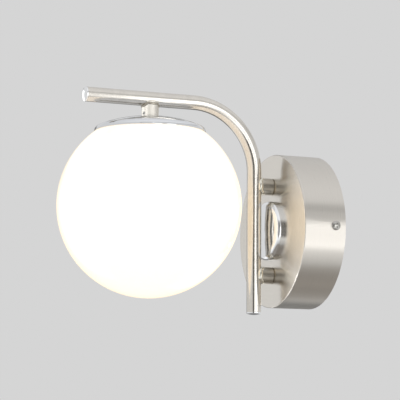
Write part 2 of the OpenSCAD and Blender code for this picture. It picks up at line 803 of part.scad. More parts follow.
// Upper half of the lamp holder, threaded on the nipple
module holder_cap() {
    shoulder_h = holder_cap_len - holder_neck_len;
    color(WHITE) on_globe_axis(holder_joint_z) difference() {
        rotate_extrude() {
            square([holder_neck_r, holder_cap_len]);
            polygon([[0, 0], [holder_r, 0], [holder_r, shoulder_h / 2],
                [holder_neck_r, shoulder_h], [0, shoulder_h]]);
        }
        translate([0, 0, -cut]) rotate_extrude() polygon([[0, 0], [holder_r - holder_wall, 0],
            [holder_r - holder_wall, shoulder_h / 2 + cut - holder_wall],
            [holder_neck_r - holder_wall, shoulder_h + cut - holder_wall],
            [0, shoulder_h + cut - holder_wall]]);
        cylinder(r = nipple_r + fit_gap, h = holder_cap_len + cut);
    }
}

// Contact carrier in the holder, with a boss for the threaded shell
module holder_insert() {
    color(WHITE) on_globe_axis(holder_joint_z) difference() {
        union() {
            cylinder(r = insert_r, h = insert_t);
            translate([0, 0, -insert_boss_len]) cylinder(r = insert_boss_r, h = insert_boss_len);
        }
        translate([0, 0, -insert_boss_len - cut])
            tube_ring(shell_in_r + shell_wall + fit_gap, shell_in_r - fit_gap, shell_groove + cut);
    }
}

// Lower half of the lamp holder: a skirt that narrows to the mouth, with a ledge for the insert
module holder_skirt() {
    skirt_len = holder_joint_z - holder_bottom_z;
    bore_r = holder_r - holder_wall;
    color(WHITE) on_globe_axis(holder_bottom_z) rotate_extrude() difference() {
        polygon([[0, 0], [holder_mouth_r, 0], [holder_r, holder_taper_len], [holder_r, skirt_len],
            [0, skirt_len]]);
        translate([0, -cut]) square([holder_mouth_in_r, skirt_len]);
        translate([0, holder_taper_len]) square([bore_r, skirt_len - holder_taper_len - holder_ledge_h]);
        translate([0, holder_taper_len]) square([bore_r - holder_ledge, skirt_len]);
    }
}

// Threaded metal shell that takes the lamp
module holder_shell() {
    color(BRASS) on_globe_axis(shell_top_z - shell_len)
        tube_ring(shell_in_r + shell_wall, shell_in_r, shell_len);
}

// Outline of the centre contact: a root under the boss, a bowed run and a tongue on the tip
module contact_section() {
    bend_x = contact_len / 4;
    bow_x = contact_len / 2;
    drop = contact_rise + contact_t;
    polygon([[-bow_x, 0], [bend_x, 0], [bow_x, -drop / 2], [bend_x, -drop], [-bend_x, -drop],
        [-bend_x, -contact_rise], [bend_x - contact_t, -contact_rise], [bow_x - 2 * contact_t, -drop / 2],
        [bend_x - contact_t, -contact_t], [-bow_x, -contact_t]]);
}

// Centre contact, a tongue sprung down onto the lamp's tip
module centre_contact() {
    color(BRASS) on_globe_axis(holder_joint_z - insert_boss_len) translate([-contact_w / 2, 0, 0])
        rotate([90, 0, 90]) linear_extrude(contact_w) contact_section();
}

// Two screw terminals on the insert
module holder_terminals() {
    color(BRASS) for (side = [-1, 1])
        translate([side * terminal_x, -globe_reach, holder_joint_z + insert_t]) difference() {
            translate([-terminal_w / 2, -terminal_d / 2, 0]) cube([terminal_w, terminal_d, terminal_h]);
            translate([0, 0, terminal_h / 2]) cylinder(r = lead_r + fit_gap, h = terminal_h);
        }
}

// Route of a mains lead from its barrel, through the canopy and the arm, to its lamp holder terminal
function mains_route(side) =
    let (x = side * lead_x, barrel_x = block_x + side * block_pitch / 2)
    let (pull = nipple_inner_depth - bush_clear, fan_z = nipple_bottom_z - lead_fan_top)
    [[barrel_x, -barrel_depth, barrel_len / 2 - lead_entry],
        [barrel_x, -barrel_depth, barrel_len],
        [x, -pull, standoff_z],
        [x, -tube_depth, standoff_z],
        [x, -tube_depth, arm_rise],
        [x, -globe_reach, arm_rise],
        [x, -globe_reach, fan_z],
        [side * terminal_x, -globe_reach, fan_z - lead_fan_drop],
        [side * terminal_x, -globe_reach, holder_joint_z + insert_t + terminal_h / 2]];

module mains_lead(side) {
    radii = [0, lead_bend_r, lead_bend_r, lead_bend_r, bend_r, lead_bend_r, lead_tight_r,
        lead_tight_r, 0];
    steps = [0, lead_arc_steps, lead_arc_steps, lead_arc_steps, 4 * lead_arc_steps, lead_arc_steps,
        lead_arc_steps, lead_arc_steps, 0];
    lead(paced_route(rounded_route(mains_route(side), radii, steps), 3 * lead_d), lead_r, [1, 0, 0]);
}

module live_lead() { color("saddlebrown") mains_lead(1); }
module neutral_lead() { color("royalblue") mains_lead(-1); }

// Point on the axis of an earth tag's barrel, at a distance past the barrel's start
function tag_axis_point(t, past) =
    let (reach = t[4] + tag_ring_w + tag_neck_len - 2 * tag_t + past)
    [t[0] - reach * sin(t[3]), -t[2] - t[5] * tag_barrel_r, t[1] + reach * cos(t[3])];

// Earth lead between the two tags
module earth_lead() {
    corners = [tag_axis_point(tags[0], tag_barrel_len / 2), tag_axis_point(tags[0], 3 * tag_barrel_len),
        tag_axis_point(tags[1], 3 * tag_barrel_len), tag_axis_point(tags[1], tag_barrel_len / 2)];
    radii = [0, lead_bend_r, lead_bend_r, 0];
    steps = [0, lead_arc_steps, lead_arc_steps, 0];
    color("yellowgreen")
        lead(paced_route(rounded_route(corners, radii, steps), 3 * lead_d), lead_r, [0, 1, 0]);
}

// Opal ball with a ground mouth
module globe_glass() {
    color(OPAL) on_globe_axis(globe_z) rotate_extrude() difference() {
        intersection() {
            circle(globe_r, $fn = crown_sides);
            translate([0, -globe_d]) square([globe_d, globe_d + mouth_z - globe_z]);
        }
        circle(globe_in_r, $fn = crown_sides);
    }
}

module lamp_tip() {
    color(STEEL) on_globe_axis(lamp_tip_z - lamp_tip_h) cylinder(r = lamp_tip_r, h = lamp_tip_h);
}

// Dark glass cone between the tip and the shell
module lamp_insulator() {
    color(BLACK) on_globe_axis(lamp_shell_top_z)
        cylinder(r1 = lamp_shell_r - lamp_shell_neck, r2 = lamp_tip_r, h = lamp_insulator_h);
}

// Screw shell, necked in at the top and closed by its shoulder
module lamp_shell() {
    color(CHROME) on_globe_axis(lamp_shell_bottom_z) rotate_extrude() difference() {
        polygon([[0, 0], [lamp_shell_r, 0], [lamp_shell_r, lamp_shell_len - lamp_shell_neck],
            [lamp_shell_r - lamp_shell_neck, lamp_shell_len], [0, lamp_shell_len]]);
        translate([0, -cut])
            square([lamp_shell_r - lamp_shell_neck, lamp_shell_len + cut - lamp_shell_wall]);
    }
}

// Plastic collar that widens from the shell to the ball, hollow below its deck
module lamp_collar() {
    deck = lamp_collar_len / 2;
    color(WHITE) on_globe_axis(lamp_collar_bottom_z) rotate_extrude() difference() {
        polygon([[0, 0], [lamp_collar_r, 0], [lamp_collar_foot_r, lamp_collar_len],
            [lamp_shell_r - lamp_shell_neck - fit_gap, lamp_collar_len],
            [lamp_shell_r - lamp_shell_neck - fit_gap, lamp_collar_len + lamp_shell_len / 2],
            [0, lamp_collar_len + lamp_shell_len / 2]]);
        translate([0, -cut]) square([lamp_pocket_r, deck + cut]);
    }
}

// Opal shell of the lamp, open where it meets the collar
module lamp_ball() {
    color(OPAL) on_globe_axis(lamp_ball_z) rotate_extrude() difference() {
        intersection() {
            circle(lamp_r);
            translate([0, -lamp_d]) square([lamp_d, lamp_d + lamp_collar_bottom_z - glue_line - lamp_ball_z]);
        }
        circle(lamp_r - lamp_ball_wall);
    }
}

module led_board() {
    color(WHITE) on_globe_axis(lamp_collar_bottom_z + lamp_collar_len / 2 - board_t)
        cylinder(r = board_r, h = board_t);
}

module led_chips() {
    color("gold") on_globe_axis(lamp_collar_bottom_z + lamp_collar_len / 2 - board_t - chip_t)
        for (i = [0 : chip_count - 1]) rotate(i * 360 / chip_count)
            translate([chip_ring_r - chip_size / 2, -chip_size / 2, 0]) cube([chip_size, chip_size, chip_t]);
}

canopy();
side_screws();
wall_bracket();
earth_screw();
earth_cup_washer();
earth_tags();
terminal_block();
terminal_barrels();
terminal_screws();
terminal_fixing_screw();
canopy_dome();
dome_stud();
dome_washer();
dome_nut();
upper_standoff();
lower_standoff();
arm_nipples();
arm_nuts();
arm_lock_washers();
wire_bush();
arm_tube();
front_end_cap();
bottom_end_cap();
stem();
stem_grub_screw();
fitter_cap();
cap_nipple();
cap_nut();
spring_spider();
globe_gasket();
holder_cap();
holder_insert();
holder_skirt();
holder_shell();
centre_contact();
holder_terminals();
live_lead();
neutral_lead();
earth_lead();
globe_glass();
lamp_tip();
lamp_insulator();
lamp_shell();
lamp_collar();
lamp_ball();
led_board();
led_chips();
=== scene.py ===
import json
import math

import bmesh
import bpy
from mathutils import Matrix, Vector

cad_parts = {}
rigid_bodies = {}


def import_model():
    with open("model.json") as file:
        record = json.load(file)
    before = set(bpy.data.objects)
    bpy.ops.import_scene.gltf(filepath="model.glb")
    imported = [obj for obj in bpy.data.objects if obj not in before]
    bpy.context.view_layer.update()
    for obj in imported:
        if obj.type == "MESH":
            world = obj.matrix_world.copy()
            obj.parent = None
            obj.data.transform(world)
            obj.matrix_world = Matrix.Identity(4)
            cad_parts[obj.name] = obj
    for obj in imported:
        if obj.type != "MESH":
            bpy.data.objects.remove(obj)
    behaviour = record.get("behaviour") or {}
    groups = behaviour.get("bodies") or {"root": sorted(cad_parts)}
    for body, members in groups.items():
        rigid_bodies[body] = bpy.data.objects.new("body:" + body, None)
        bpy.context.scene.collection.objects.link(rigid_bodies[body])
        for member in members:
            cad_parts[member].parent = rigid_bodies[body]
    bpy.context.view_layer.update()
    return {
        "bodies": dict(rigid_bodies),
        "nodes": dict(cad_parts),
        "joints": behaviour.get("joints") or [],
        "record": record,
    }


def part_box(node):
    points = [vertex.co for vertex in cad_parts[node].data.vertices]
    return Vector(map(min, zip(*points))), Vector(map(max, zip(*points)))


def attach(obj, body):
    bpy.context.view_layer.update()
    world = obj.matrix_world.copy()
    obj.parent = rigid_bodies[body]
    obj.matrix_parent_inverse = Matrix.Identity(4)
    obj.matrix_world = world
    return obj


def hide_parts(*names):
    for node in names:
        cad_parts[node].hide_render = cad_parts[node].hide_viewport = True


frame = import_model()
nodes = frame["nodes"]
MM = 0.001

# Camera, solved from the outlines in the photograph
CAMERA_AZIMUTH = 67.122
CAMERA_ELEVATION = -6.95
CAMERA_ROLL = 0.397
CAMERA_DISTANCE = 1.5
CAMERA_RIGHT = -0.092885
CAMERA_UP = 0.028008
FOCAL_PIXELS = 1786.724
PICTURE_PIXELS = 400
SENSOR_MM = 36
CLIP_NEAR = 0.05
CLIP_FAR = 50

# Studio tones, in linear light
BACKDROP = (0.665, 0.665, 0.665)
PLAIN_LIGHT = (0.78, 0.78, 0.79)
HORIZON = (0.77, 0.77, 0.77)
CEILING = (0.94, 0.94, 0.95)
GROUND = (0.30, 0.275, 0.25)
FLAG = (0.10, 0.095, 0.09)
SIDE_STRIP = (2.2, 2.2, 2.2)
BACK_STRIP = (2.65, 2.65, 2.65)

# Floor
FLOOR_TONE = (0.78, 0.78, 0.77)
FLOOR_Z = -0.42
FLOOR_REACH = 6.0

# Bands of the studio from the ground up: elevations of the change, share of the horizon's tone,
# and whether the change is eased
BANDS = [
    (-53, -49, 0.70, True),
    (-49, -26, 1.45, False),
    (-24, -6, 1.0, True),
]
CEILING_EDGE = (33, 38)
# The ceiling is dimmer on the light's -X side: the directions' X of the change, and the dim share
CEILING_FADE = (-0.6, 0.5)
CEILING_DIM_SHARE = 0.8

# Windows of directions in which the metal sees another tone: azimuths, elevations, soft edges
# across and up, tone and its share. The lower ones lie under the bands, the upper ones under the
# ceiling and the side ones over all.
LOWER_WINDOWS = [((150, 186), (-80, -60), 6, 2, GROUND, 1.3)]
UPPER_WINDOWS = [((80, 200), (24, 33), 8, 2, HORIZON, 0.80)]
SIDE_WINDOWS = [
    ((50, 75), (-25, 30), 3, 8, FLAG, 1.0),
    ((234, 281), (-52, 17), 5, 3, HORIZON, 0.32),
    ((234, 260), (24, 31), 5, 2, HORIZON, 0.5),
    ((79, 94), (-25, 11), 1.5, 5, SIDE_STRIP, 1.0),
    ((104, 124), (-26, 11), 3, 5, BACK_STRIP, 1.0),
]

# The point that every softbox faces
LIGHT_MIDDLE = Vector((0, -0.08, 0.02))
# Softboxes: name, azimuth, elevation, width, height, distance, radiance and the nodes that it is
# kept for as a reflection. One that is kept for none lights everything and is never reflected.
SOFTBOXES = [
    ("key_light", CAMERA_AZIMUTH + 30, 40, 0.8, 0.8, 1.6, 1.2, []),
    ("left_softbox", -12, 12, 0.75, 0.22, 0.36, 1.15, ["stem"]),
    ("stem_fill", 62, 7, 0.9, 0.7, 1.6, 1.12, ["stem"]),
    ("end_cap_softbox", -67, 7, 0.30, 0.30, 0.5, 1.3, ["front_end_cap"]),
    ("dome_side_softbox", 113, 0, 0.85, 0.30, 1.7, 0.85, ["canopy_dome"]),
    ("cap_rim_softbox", 62.5, 4, 0.80, 1.75, 1.8, 0.60, ["fitter_cap"]),
    ("canopy_face_softbox", -64, 6, 0.9, 0.9, 1.5, 0.09, ["canopy"]),
    ("canopy_wedge_softbox", -38, -14, 0.25, 0.25, 1.0, 6.0, ["canopy"]),
]

# Tints of the metals and the glow of the glass and the lamp
NICKEL_TINT = (0.69, 0.66, 0.61)
CHROME_TINT = (0.86, 0.87, 0.88)
CAP_TINT = (0.76, 0.775, 0.80)
# Stem: the nickel lightened, painted light on the stem
STEM_LIT_TINT = (0.74, 0.71, 0.65)
# Posts: the nickel darkened, painted shade where the posts sit in front of the canopy's face
POST_SHADED_TINT = (0.56, 0.53, 0.47)
BRAZE_TINT = (0.80, 0.77, 0.68)
# Stem's braze bead: braze tinted dark brown, partly painted shade along the stem's joint
STEM_BRAZE_SHADE_TINT = (0.45, 0.415, 0.35)
# Dark ring at the stem's foot: painted shade where the stem meets the cap
STEM_FOOT_SHADE_TINT = (0.26, 0.25, 0.22)
GLASS_GLOW = (0.72, 0.58, 0.37)
LAMP_GLOW = (0.62, 0.52, 0.34)
# The glass glows less towards its mouth: heights of the change, and the share at the mouth
GLOW_FULL_Z = 20 * MM
GLOW_MOUTH_Z = 75 * MM
GLOW_MOUTH_SHARE = 0.6

# Turned finish of the canopy: scratches to a metre, how fast they change round the axis, the
# face's share of the side's roughness, and the depth behind the face over which that ends
SCRATCHES = 4200.0
SCRATCH_CHANGE = 2.2
FACE_ROUGHNESS_SHARE = 0.54
FACE_DEPTH = 0.6 * MM

# Lowest and highest value that a noise usually reaches
NOISE_LOW = 0.3
NOISE_HIGH = 0.7

# Sizes of the arm that the node boxes do not give
BEND_R = 55 * MM
TUBE_WALL = 1 * MM
TUBE_LIP = 0.4 * MM
COPE_GAP = 2.4 * MM

# Braze beads: radius, how far it is sunk, its shift along the post and its dip beside the tube
POST_BEAD = (2.4 * MM, 1.9 * MM, 1.3 * MM, 0)
STEM_BEAD = (1.1 * MM, 0.45 * MM, 0, 2.2 * MM)
# Radius of the dark ring at the stem's foot, painted shade where the stem meets the cap
STEM_FOOT_R = 0.8 * MM

# Leads: their size, their bends, and the points of their routes that the node boxes do not give
LEAD_R = 1.2 * MM
LEAD_GAP = 0.05 * MM
LEAD_BEND_R = 5 * MM
LEAD_TIGHT_R = 3 * MM
LEAD_ENTRY_Z = 6 * MM
LEAD_OUT_Z = 18 * MM
BARREL_PITCH = 8.6 * MM
LEAD_GATHER_Y = -21.8 * MM
LEAD_FAN_TOP = 1.5 * MM
LEAD_FAN_DROP = 3.8 * MM
HOLDER_TERMINAL_X = 9 * MM
# The two earth tags' x, y and turn, the reach of their barrels' middle, and the run past it
STRAP_TAG = (-17 * MM, -3.3 * MM, 150)
STRAP_TAG_REACH = 10.4 * MM
ARM_TAG = (0, -32.5 * MM, 20)
ARM_TAG_REACH = 13.4 * MM
TAG_LEAD_RUN = 15 * MM
EARTH_YELLOW_SHARE = 0.4
# First side of a lead's rings, along which no leg of a route runs
LEAD_SIDE = Vector((1, 0, 0.01))

# Threads
FLANK_STEEPNESS = 1.3
ROOT_SHARE = 0.1
NIPPLE_R = 5 * MM
NIPPLE_BORE_R = 3.5 * MM
NIPPLE_PITCH = 1 * MM
NIPPLE_THREAD = 0.55 * MM
STUD_PITCH = 0.8 * MM
STUD_THREAD = 0.45 * MM
LAMP_PITCH = 3.63 * MM
LAMP_SHEET = 0.6 * MM
HOLDER_SHEET = 0.4 * MM
# Height, root radius and thread depth along each shell, in millimetres
LAMP_SHELL_ROWS = [(0, 13.1, 0), (1.2, 13.1, 0), (2.4, 12.2, 0.9), (17.2, 12.2, 0.9),
                   (18.6, 12.3, 0), (19.6, 12.1, 0), (21, 11.5, 0)]
HOLDER_SHELL_ROWS = [(0, 13.6, 0), (1.2, 13.6, 0), (2.4, 12.7, 0.9), (18.4, 12.7, 0.9),
                     (19.6, 13.6, 0), (22, 13.6, 0)]

# Fineness of the round meshes
LIP_STEPS = 4
ARM_BEND_STEPS = 64
TUBE_SIDES = 72
LEAD_STEPS = 10
LEAD_SIDES = 16
BEAD_STEPS = 72
BEAD_SIDES = 16
THREAD_ROWS = 8
NIPPLE_SIDES = 48
STUD_SIDES = 32
SHELL_SIDES = 72

# Edges sharper than these, in degrees, stay sharp
CREASE = 40
TUBE_CREASE = 50
THREAD_CREASE = 70

RIGHT = Vector((1, 0, 0))
INTO_WALL = Vector((0, 1, 0))
OUT_OF_WALL = Vector((0, -1, 0))
UP = Vector((0, 0, 1))
DOWN = Vector((0, 0, -1))

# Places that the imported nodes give
arm_low, arm_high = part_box("arm_tube")
tube_r = arm_high.x
tube_y = arm_high.y - tube_r
arm_z = arm_high.z - tube_r
post_low, post_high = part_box("upper_standoff")
post_z = (post_low.z + post_high.z) / 2
post_r = post_high.x
stem_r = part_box("stem")[1].x
canopy_face_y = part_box("canopy")[0].y
globe_low, globe_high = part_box("globe_glass")
globe_y = (globe_low.y + globe_high.y) / 2


def camera_axes(azimuth, elevation, roll=0.0):
    """Right, up and backward directions of a view."""
    a, e, r = (math.radians(v) for v in (azimuth, elevation, roll))
    back = Vector((math.sin(a) * math.cos(e), -math.cos(a) * math.cos(e), math.sin(e)))
    level = UP.cross(back).normalized()
    upright = back.cross(level)
    right = level * math.cos(r) + upright * math.sin(r)
    up = upright * math.cos(r) - level * math.sin(r)
    return right, up, back


def add_object(name, data):
    """New object in the scene."""
    made = bpy.data.objects.new(name, data)
    bpy.context.scene.collection.objects.link(made)
    return made


def facing(place, axes):
    """Matrix of a camera or lamp at a place, from its right, up and backward directions."""
    return Matrix.Translation(place) @ Matrix(axes).transposed().to_4x4()


def add_camera():
    """Camera at the photograph's angle."""
    right, up, back = camera_axes(CAMERA_AZIMUTH, CAMERA_ELEVATION, CAMERA_ROLL)
    data = bpy.data.cameras.new("camera")
    data.sensor_width = SENSOR_MM
    data.lens = FOCAL_PIXELS / PICTURE_PIXELS * SENSOR_MM
    data.clip_start = CLIP_NEAR
    data.clip_end = CLIP_FAR
    camera = add_object("camera", data)
    place = back * CAMERA_DISTANCE + right * CAMERA_RIGHT + up * CAMERA_UP
    camera.matrix_world = facing(place, (right, up, back))
    bpy.context.scene.camera = camera


def rgba(colour, share=1.0):
    """A share of a colour, opaque."""
    return (*(share * c for c in colour), 1.0)


class Shader:
    """Short calls that add and link shader nodes in one tree."""

    def __init__(self, tree):
        self.tree = tree
        tree.nodes.clear()

    def node(self, kind, **settings):
        made = self.tree.nodes.new(kind)
        for name, value in settings.items():
            setattr(made, name, value)
        return made

    def put(self, socket, value):
        """Links a socket to another one's output, or sets its value."""
        if isinstance(value, bpy.types.NodeSocket):
            self.tree.links.new(value, socket)
        elif value is not None:
            socket.default_value = value

    def maths(self, operation, a, b=None, c=None):
        made = self.node("ShaderNodeMath", operation=operation)
        for socket, value in zip(made.inputs, (a, b, c)):
            self.put(socket, value)
        return made.outputs[0]

    def spread(self, value, low, high, to_low=0.0, to_high=1.0, smooth=False):
        """Maps a range of a value to another range, eased or straight."""
        made = self.node("ShaderNodeMapRange")
        if smooth:
            made.interpolation_type = "SMOOTHSTEP"
        for name, item in zip(("Value", "From Min", "From Max", "To Min", "To Max"),
                              (value, low, high, to_low, to_high)):
            self.put(made.inputs[name], item)
        return made.outputs["Result"]

    def vary(self, noise, low, high):
        """A value between two limits that follows a noise."""
        return self.spread(noise, NOISE_LOW, NOISE_HIGH, low, high)

    def mix(self, factor, a, b):
        made = self.node("ShaderNodeMix", data_type="RGBA")
        self.put(made.inputs[0], factor)
        self.put(made.inputs[6], a)
        self.put(made.inputs[7], b)
        return made.outputs[2]

    def shaded(self, noise, tint, dark, light):
        """A tint between two shares of itself that follows a noise."""
        return self.mix(self.vary(noise, 0.0, 1.0), rgba(tint, dark), rgba(tint, light))

    def noise(self, vector, scale, detail, roughness, w=None):
        made = self.node("ShaderNodeTexNoise", noise_dimensions="3D" if w is None else "4D")
        self.put(made.inputs["Vector"], vector)
        if w is not None:
            self.put(made.inputs["W"], w)
        self.put(made.inputs["Scale"], scale)
        self.put(made.inputs["Detail"], detail)
        self.put(made.inputs["Roughness"], roughness)
        return made.outputs["Fac"]

    def place(self):
        return self.node("ShaderNodeTexCoord").outputs["Object"]

    def split(self, vector):
        made = self.node("ShaderNodeSeparateXYZ")
        self.put(made.inputs[0], vector)
        return made.outputs["X"], made.outputs["Y"], made.outputs["Z"]

    def join(self, x, y, z):
        made = self.node("ShaderNodeCombineXYZ")
        for socket, value in zip(made.inputs, (x, y, z)):
            self.put(socket, value)
        return made.outputs[0]

    def bump(self, height, distance):
        made = self.node("ShaderNodeBump")
        self.put(made.inputs["Strength"], 1.0)
        self.put(made.inputs["Distance"], distance)
        self.put(made.inputs["Height"], height)
        return made.outputs["Normal"]


def lay_windows(s, azimuth, elevation, tone, windows):
    """Lays windows of directions over a tone, each with soft edges in degrees."""
    for sides, tops, soft_side, soft_top, colour, share in windows:
        inside = 1.0
        for angle, (low, high), soft in ((azimuth, sides, soft_side), (elevation, tops, soft_top)):
            from_middle = s.maths("WRAP", s.maths("SUBTRACT", angle, (low + high) / 2), 180, -180)
            half = (high - low) / 2
            away = s.maths("ABSOLUTE", from_middle)
            edge = s.spread(away, half - soft, half + soft, 1.0, 0.0, smooth=True)
            inside = s.maths("MULTIPLY", inside, edge)
        tone = s.mix(inside, tone, rgba(colour, share))
    return tone


def add_world():
    """Grey backdrop for the camera, studio walls for the metal, plain light for the rest."""
    world = bpy.data.worlds.new("studio")
    bpy.context.scene.world = world
    world.use_nodes = True
    s = Shader(world.node_tree)
    x, y, z = s.split(s.node("ShaderNodeTexCoord").outputs["Generated"])
    elevation = s.maths("DEGREES", s.maths("ARCSINE", z))
    azimuth = s.maths("DEGREES", s.maths("ARCTAN2", x, s.maths("MULTIPLY", y, -1.0)))

    tone = lay_windows(s, azimuth, elevation, rgba(GROUND), LOWER_WINDOWS)
    for low, high, share, eased in BANDS:
        tone = s.mix(s.spread(elevation, low, high, smooth=eased), tone, rgba(HORIZON, share))
    tone = lay_windows(s, azimuth, elevation, tone, UPPER_WINDOWS)
    ceiling = s.mix(s.spread(x, *CEILING_FADE), rgba(CEILING, CEILING_DIM_SHARE), rgba(CEILING))
    tone = s.mix(s.spread(elevation, *CEILING_EDGE, smooth=True), tone, ceiling)
    tone = lay_windows(s, azimuth, elevation, tone, SIDE_WINDOWS)

    rays = s.node("ShaderNodeLightPath")
    mirrored = s.maths("MAXIMUM", rays.outputs["Is Glossy Ray"], rays.outputs["Is Transmission Ray"])
    tone = s.mix(mirrored, rgba(PLAIN_LIGHT), tone)
    tone = s.mix(rays.outputs["Is Camera Ray"], tone, rgba(BACKDROP))
    background = s.node("ShaderNodeBackground")
    s.put(background.inputs["Color"], tone)
    s.put(s.node("ShaderNodeOutputWorld").inputs["Surface"], background.outputs[0])


def add_softbox(name, azimuth, elevation, width, height, distance, radiance, kept_for):
    """Softbox that lights everything, or one that only some nodes reflect."""
    data = bpy.data.lights.new(name, "AREA")
    data.shape = "RECTANGLE"
    data.size = width
    data.size_y = height
    data.energy = radiance * math.pi * width * height
    lamp = add_object(name, data)
    axes = camera_axes(azimuth, elevation)
    lamp.matrix_world = facing(LIGHT_MIDDLE + axes[2] * distance, axes)
    if not kept_for:
        lamp.visible_glossy = False
        return
    lamp.visible_diffuse = False
    lamp.visible_camera = False
    reached = bpy.data.collections.new(name + "_reaches")
    for part in kept_for:
        reached.objects.link(nodes[part])
    lamp.light_linking.receiver_collection = reached


def material(name, base, metallic, roughness, **sockets):
    """Principled material whose even values sit on the shader's own sockets."""
    made = bpy.data.materials.new(name)
    made.use_nodes = True
    s = Shader(made.node_tree)
    bsdf = s.node("ShaderNodeBsdfPrincipled")
    bsdf.inputs["Base Color"].default_value = rgba(base)
    bsdf.inputs["Metallic"].default_value = metallic
    bsdf.inputs["Roughness"].default_value = roughness
    for socket, value in sockets.items():
        bsdf.inputs[socket.replace("_", " ")].default_value = value
    s.put(s.node("ShaderNodeOutputMaterial").inputs["Surface"], bsdf.outputs[0])
    return made, s, bsdf


def add_floor():
    """Plain pale floor, far below the light."""
    corners = [(x * FLOOR_REACH, y * FLOOR_REACH, FLOOR_Z) for x, y in ((-1, -1), (1, -1), (1, 1), (-1, 1))]
    mesh = bpy.data.meshes.new("floor")
    mesh.from_pydata(corners, [], [(0, 1, 2, 3)])
    mesh.materials.append(material("floor_paper", FLOOR_TONE, 0.0, 0.9)[0])
    floor = add_object("floor", mesh)
    floor.visible_glossy = False


def turned_nickel(name, face_y):
    """Satin nickel with fine scratches that run round the Y axis, smoother on the front face."""
    made, s, bsdf = material(name, NICKEL_TINT, 1.0, 0.3, Anisotropic=1.0, Anisotropic_Rotation=0.25)
    x, y, z = s.split(s.place())
    radius = s.maths("SQRT", s.maths("ADD", s.maths("MULTIPLY", x, x), s.maths("MULTIPLY", z, z)))
    round_x = s.maths("MULTIPLY", s.maths("DIVIDE", x, radius), SCRATCH_CHANGE)
    round_z = s.maths("MULTIPLY", s.maths("DIVIDE", z, radius), SCRATCH_CHANGE)
    vector = s.join(s.maths("MULTIPLY", radius, SCRATCHES), s.maths("MULTIPLY", y, SCRATCHES), round_x)
    streaks = s.noise(vector, 1.0, 3.0, 0.7, w=round_z)
    share = s.spread(y, face_y, face_y + FACE_DEPTH, FACE_ROUGHNESS_SHARE, 1.0)
    s.put(bsdf.inputs["Roughness"], s.maths("MULTIPLY", s.vary(streaks, 0.27, 0.33), share))
    s.put(bsdf.inputs["Base Color"], s.shaded(streaks, NICKEL_TINT, 0.96, 1.04))
    s.put(bsdf.inputs["Normal"], s.bump(streaks, 0.004 * MM))
    tangent = s.node("ShaderNodeTangent", direction_type="RADIAL", axis="Y")
    s.put(bsdf.inputs["Tangent"], tangent.outputs[0])
    return made


def polished(name, tint):
    """Bright metal with a faint haze."""
    made, s, bsdf = material(name, tint, 1.0, 0.05)
    haze = s.noise(s.place(), 260.0, 3.0, 0.6)
    s.put(bsdf.inputs["Roughness"], s.vary(haze, 0.03, 0.08))
    return made


def plain_metal(name, tint, roughness):
    """Metal with a fine grain and slow changes of tint."""
    made, s, bsdf = material(name, tint, 1.0, roughness)
    grain = s.noise(s.place(), 900.0, 3.0, 0.6)
    s.put(bsdf.inputs["Roughness"], s.vary(grain, roughness - 0.04, roughness + 0.05))
    s.put(bsdf.inputs["Normal"], s.bump(grain, 0.01 * MM))
    cloud = s.noise(s.place(), 120.0, 3.0, 0.6)
    s.put(bsdf.inputs["Base Color"], s.shaded(cloud, tint, 0.95, 1.04))
    return made


def moulded(name, base, roughness=0.35):
    """Plastic, ceramic or rubber with the fine grain of its mould."""
    made, s, bsdf = material(name, base, 0.0, roughness)
    grain = s.noise(s.place(), 1400.0, 2.0, 0.5)
    s.put(bsdf.inputs["Roughness"], s.vary(grain, roughness - 0.05, roughness + 0.07))
    s.put(bsdf.inputs["Normal"], s.bump(grain, 0.006 * MM))
    return made


def opal_glass():
    """Glossy white glass, lit from within."""
    made, s, bsdf = material("opal_glass", (0.93, 0.93, 0.97), 0.0, 0.06, IOR=1.5)
    bsdf.inputs["Emission Color"].default_value = rgba(GLASS_GLOW)
    height = s.split(s.place())[2]
    glow = s.spread(height, GLOW_FULL_Z, GLOW_MOUTH_Z, 1.0, GLOW_MOUTH_SHARE)
    s.put(bsdf.inputs["Emission Strength"], glow)
    ripple = s.noise(s.place(), 14.0, 2.0, 0.4)
    s.put(bsdf.inputs["Normal"], s.bump(ripple, 0.03 * MM))
    return made


def lamp_opal():
    """Diffuser of the lamp, lit from within."""
    made, s, bsdf = material("lamp_opal", (0.90, 0.89, 0.85), 0.0, 0.30, Emission_Strength=1.0)
    bsdf.inputs["Emission Color"].default_value = rgba(LAMP_GLOW)
    grain = s.noise(s.place(), 900.0, 2.0, 0.5)
    s.put(bsdf.inputs["Roughness"], s.vary(grain, 0.26, 0.36))
    s.put(bsdf.inputs["Normal"], s.bump(grain, 0.004 * MM))
    return made


